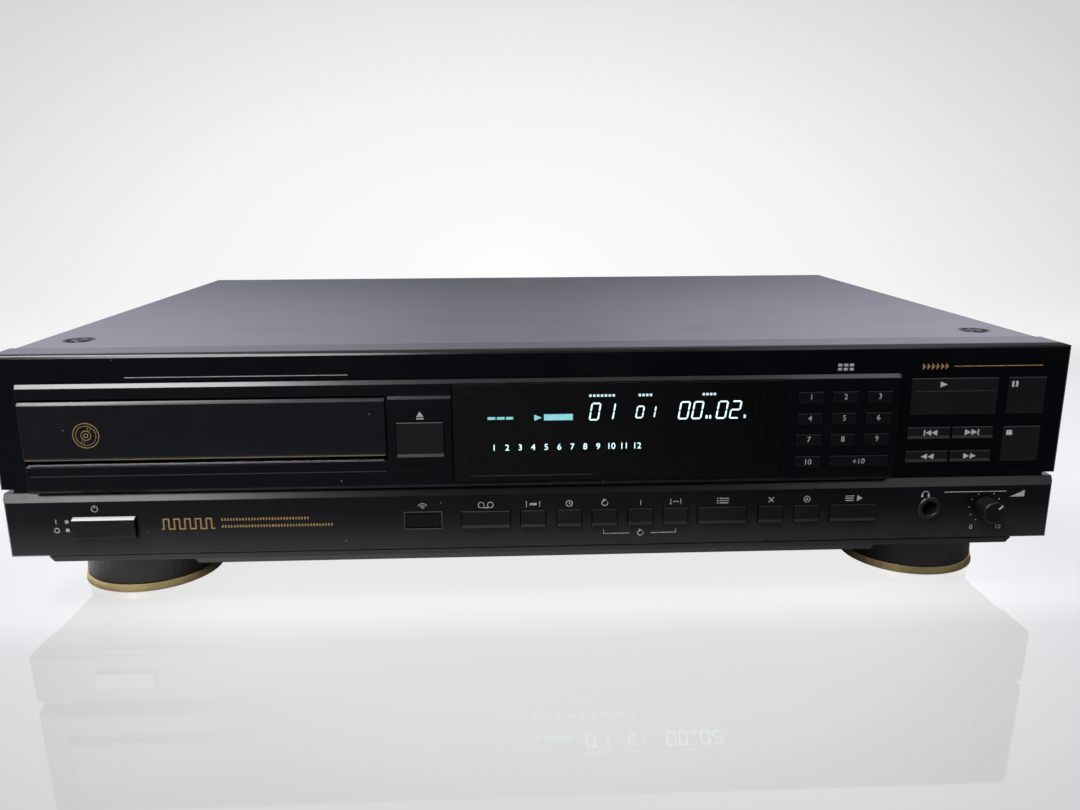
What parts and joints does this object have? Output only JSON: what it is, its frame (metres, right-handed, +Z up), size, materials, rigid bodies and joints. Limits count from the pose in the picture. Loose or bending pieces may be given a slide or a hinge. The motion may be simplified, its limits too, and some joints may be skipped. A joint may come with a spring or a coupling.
{
  "type": "cd player",
  "caption": "Full-width compact disc player: black case on round feet, front-loading disc tray, lit display, number and transport keys, headphone jack and level knob.",
  "frame": {"origin": "on the floor under the middle of the whole player, with the knob and the rear sockets counted in", "axes": "+X to the right seen from the front, -Y out of the front panel, +Z up"},
  "size_m": [0.434, 0.3104, 0.107],
  "materials": {
    "case_paint": "satin black paint on steel sheet",
    "panel_black": "satin black moulded front with a faint blue cast",
    "key_black": "satin black moulded keys",
    "window_smoke": "polished smoked acrylic",
    "board_green": "solder-masked circuit board",
    "board_tan": "bare phenolic circuit board with its parts",
    "black_moulding": "fine-textured black moulding",
    "core_steel": "plain steel",
    "white_nylon": "natural nylon",
    "foot_black": "satin black moulded foot",
    "ring_gold": "gold-coloured trim ring",
    "print_grey": "light grey screen-printed marks",
    "print_gold": "gold screen-printed marks",
    "display_light": "lit fluorescent display segments",
    "screw_black": "black passivated screws"
  },
  "bodies": {
    "chassis": {"base_pan": "case_paint", "rear_panel": "case_paint", "top_cover": "case_paint", "upper_fascia": "panel_black", "lower_fascia": "panel_black", "centre_bezel": "panel_black", "display_window": "window_smoke", "display_board": "board_green", "main_board": "board_tan", "power_transformer": "core_steel", "headphone_jack": "black_moulding", "output_jacks": "black_moulding", "mains_inlet": "black_moulding", "loader_frame": "black_moulding", "foot_front_left": "foot_black", "foot_front_right": "foot_black", "foot_rear_left": "foot_black", "foot_rear_right": "foot_black", "foot_ring_front_left": "ring_gold", "foot_ring_front_right": "ring_gold", "foot_ring_rear_left": "ring_gold", "foot_ring_rear_right": "ring_gold"},
    "tray": {"disc_tray": "black_moulding", "tray_door": "panel_black"},
    "loading_gear": {"loading_gear": "white_nylon"},
    "turntable": {"turntable": "core_steel"},
    "pickup": {"pickup_sled": "black_moulding"},
    "clamp_arm": {"clamp_arm": "core_steel"},
    "clamp_puck": {"clamp_puck": "white_nylon"},
    "power_button": {"power_button": "key_black"},
    "level_knob": {"level_knob": "key_black"},
    "open_close_key": {"open_close_key": "key_black"},
    "play_key": {"play_key": "key_black"},
    "pause_key": {"pause_key": "key_black"},
    "stop_key": {"stop_key": "key_black"},
    "skip_back_key": {"skip_back_key": "key_black"},
    "skip_forward_key": {"skip_forward_key": "key_black"},
    "search_back_key": {"search_back_key": "key_black"},
    "search_forward_key": {"search_forward_key": "key_black"},
    "number_key_1": {"number_key_1": "key_black"},
    "number_key_2": {"number_key_2": "key_black"},
    "number_key_3": {"number_key_3": "key_black"},
    "number_key_4": {"number_key_4": "key_black"},
    "number_key_5": {"number_key_5": "key_black"},
    "number_key_6": {"number_key_6": "key_black"},
    "number_key_7": {"number_key_7": "key_black"},
    "number_key_8": {"number_key_8": "key_black"},
    "number_key_9": {"number_key_9": "key_black"},
    "number_key_10": {"number_key_10": "key_black"},
    "number_key_plus_10": {"number_key_plus_10": "key_black"},
    "row_key_1": {"row_key_1": "key_black"},
    "row_key_2": {"row_key_2": "key_black"},
    "row_key_3": {"row_key_3": "key_black"},
    "row_key_4": {"row_key_4": "key_black"},
    "row_key_5": {"row_key_5": "key_black"},
    "row_key_6": {"row_key_6": "key_black"},
    "row_key_7": {"row_key_7": "key_black"},
    "row_key_8": {"row_key_8": "key_black"},
    "row_key_9": {"row_key_9": "key_black"},
    "row_key_10": {"row_key_10": "key_black"}
  },
  "joints": [
    {"name": "tray_slide", "type": "slide", "parent": "chassis", "child": "tray", "axis": [0, -1, 0], "range_m": [0, 0.138]},
    {"name": "gear_turn", "type": "hinge", "parent": "chassis", "child": "loading_gear", "pos_m": [-0.17845, -0.11725, 0.0732], "axis": [0, 0, 1], "range_deg": [0, 800]},
    {"name": "clamp_lift", "type": "hinge", "parent": "chassis", "child": "clamp_arm", "pos_m": [-0.13265, 0.04275, 0.095], "axis": [-1, 0, 0], "range_deg": [0, 2.6]},
    {"name": "turntable_spin", "type": "hinge", "parent": "chassis", "child": "turntable", "pos_m": [-0.13265, -0.07725, 0.0817], "axis": [0, 0, 1], "continuous": true},
    {"name": "puck_spin", "type": "hinge", "parent": "clamp_arm", "child": "clamp_puck", "pos_m": [-0.13265, -0.07725, 0.0977], "axis": [0, 0, 1], "continuous": true},
    {"name": "pickup_slide", "type": "slide", "parent": "chassis", "child": "pickup", "axis": [0, 1, 0], "range_m": [0, 0.033]},
    {"name": "level_turn", "type": "hinge", "parent": "chassis", "child": "level_knob", "pos_m": [0.1887, -0.14725, 0.0381], "axis": [0, 1, 0], "range_deg": [-195, 105]},
    {"name": "power_press", "type": "slide", "parent": "chassis", "child": "power_button", "axis": [0, 1, 0], "range_m": [0, 0.002], "stiffness_N_per_m": 800, "springref_m": -0.001},
    {"name": "open_close_press", "type": "slide", "parent": "chassis", "child": "open_close_key", "axis": [0, 1, 0], "range_m": [0, 0.0008], "stiffness_N_per_m": 600, "springref_m": -0.001},
    {"name": "play_press", "type": "slide", "parent": "chassis", "child": "play_key", "axis": [0, 1, 0], "range_m": [0, 0.0008], "stiffness_N_per_m": 600, "springref_m": -0.001},
    {"name": "pause_press", "type": "slide", "parent": "chassis", "child": "pause_key", "axis": [0, 1, 0], "range_m": [0, 0.0008], "stiffness_N_per_m": 600, "springref_m": -0.001},
    {"name": "stop_press", "type": "slide", "parent": "chassis", "child": "stop_key", "axis": [0, 1, 0], "range_m": [0, 0.0008], "stiffness_N_per_m": 600, "springref_m": -0.001},
    {"name": "skip_back_press", "type": "slide", "parent": "chassis", "child": "skip_back_key", "axis": [0, 1, 0], "range_m": [0, 0.0008], "stiffness_N_per_m": 600, "springref_m": -0.001},
    {"name": "skip_forward_press", "type": "slide", "parent": "chassis", "child": "skip_forward_key", "axis": [0, 1, 0], "range_m": [0, 0.0008], "stiffness_N_per_m": 600, "springref_m": -0.001},
    {"name": "search_back_press", "type": "slide", "parent": "chassis", "child": "search_back_key", "axis": [0, 1, 0], "range_m": [0, 0.0008], "stiffness_N_per_m": 600, "springref_m": -0.001},
    {"name": "search_forward_press", "type": "slide", "parent": "chassis", "child": "search_forward_key", "axis": [0, 1, 0], "range_m": [0, 0.0008], "stiffness_N_per_m": 600, "springref_m": -0.001},
    {"name": "number_1_press", "type": "slide", "parent": "chassis", "child": "number_key_1", "axis": [0, 1, 0], "range_m": [0, 0.0008], "stiffness_N_per_m": 600, "springref_m": -0.001},
    {"name": "number_2_press", "type": "slide", "parent": "chassis", "child": "number_key_2", "axis": [0, 1, 0], "range_m": [0, 0.0008], "stiffness_N_per_m": 600, "springref_m": -0.001},
    {"name": "number_3_press", "type": "slide", "parent": "chassis", "child": "number_key_3", "axis": [0, 1, 0], "range_m": [0, 0.0008], "stiffness_N_per_m": 600, "springref_m": -0.001},
    {"name": "number_4_press", "type": "slide", "parent": "chassis", "child": "number_key_4", "axis": [0, 1, 0], "range_m": [0, 0.0008], "stiffness_N_per_m": 600, "springref_m": -0.001},
    {"name": "number_5_press", "type": "slide", "parent": "chassis", "child": "number_key_5", "axis": [0, 1, 0], "range_m": [0, 0.0008], "stiffness_N_per_m": 600, "springref_m": -0.001},
    {"name": "number_6_press", "type": "slide", "parent": "chassis", "child": "number_key_6", "axis": [0, 1, 0], "range_m": [0, 0.0008], "stiffness_N_per_m": 600, "springref_m": -0.001},
    {"name": "number_7_press", "type": "slide", "parent": "chassis", "child": "number_key_7", "axis": [0, 1, 0], "range_m": [0, 0.0008], "stiffness_N_per_m": 600, "springref_m": -0.001},
    {"name": "number_8_press", "type": "slide", "parent": "chassis", "child": "number_key_8", "axis": [0, 1, 0], "range_m": [0, 0.0008], "stiffness_N_per_m": 600, "springref_m": -0.001},
    {"name": "number_9_press", "type": "slide", "parent": "chassis", "child": "number_key_9", "axis": [0, 1, 0], "range_m": [0, 0.0008], "stiffness_N_per_m": 600, "springref_m": -0.001},
    {"name": "number_10_press", "type": "slide", "parent": "chassis", "child": "number_key_10", "axis": [0, 1, 0], "range_m": [0, 0.0008], "stiffness_N_per_m": 600, "springref_m": -0.001},
    {"name": "number_plus_10_press", "type": "slide", "parent": "chassis", "child": "number_key_plus_10", "axis": [0, 1, 0], "range_m": [0, 0.0008], "stiffness_N_per_m": 600, "springref_m": -0.001},
    {"name": "row_1_press", "type": "slide", "parent": "chassis", "child": "row_key_1", "axis": [0, 1, 0], "range_m": [0, 0.0008], "stiffness_N_per_m": 600, "springref_m": -0.001},
    {"name": "row_2_press", "type": "slide", "parent": "chassis", "child": "row_key_2", "axis": [0, 1, 0], "range_m": [0, 0.0008], "stiffness_N_per_m": 600, "springref_m": -0.001},
    {"name": "row_3_press", "type": "slide", "parent": "chassis", "child": "row_key_3", "axis": [0, 1, 0], "range_m": [0, 0.0008], "stiffness_N_per_m": 600, "springref_m": -0.001},
    {"name": "row_4_press", "type": "slide", "parent": "chassis", "child": "row_key_4", "axis": [0, 1, 0], "range_m": [0, 0.0008], "stiffness_N_per_m": 600, "springref_m": -0.001},
    {"name": "row_5_press", "type": "slide", "parent": "chassis", "child": "row_key_5", "axis": [0, 1, 0], "range_m": [0, 0.0008], "stiffness_N_per_m": 600, "springref_m": -0.001},
    {"name": "row_6_press", "type": "slide", "parent": "chassis", "child": "row_key_6", "axis": [0, 1, 0], "range_m": [0, 0.0008], "stiffness_N_per_m": 600, "springref_m": -0.001},
    {"name": "row_7_press", "type": "slide", "parent": "chassis", "child": "row_key_7", "axis": [0, 1, 0], "range_m": [0, 0.0008], "stiffness_N_per_m": 600, "springref_m": -0.001},
    {"name": "row_8_press", "type": "slide", "parent": "chassis", "child": "row_key_8", "axis": [0, 1, 0], "range_m": [0, 0.0008], "stiffness_N_per_m": 600, "springref_m": -0.001},
    {"name": "row_9_press", "type": "slide", "parent": "chassis", "child": "row_key_9", "axis": [0, 1, 0], "range_m": [0, 0.0008], "stiffness_N_per_m": 600, "springref_m": -0.001},
    {"name": "row_10_press", "type": "slide", "parent": "chassis", "child": "row_key_10", "axis": [0, 1, 0], "range_m": [0, 0.0008], "stiffness_N_per_m": 600, "springref_m": -0.001}
  ],
  "couplings": [
    {"joint": "gear_turn", "follows": "tray_slide", "rad_per_m": 100},
    {"joint": "clamp_lift", "follows": "tray_slide", "rad_per_m": 0.3162},
    {"joint": "puck_spin", "follows": "turntable_spin", "ratio": 1}
  ]
}
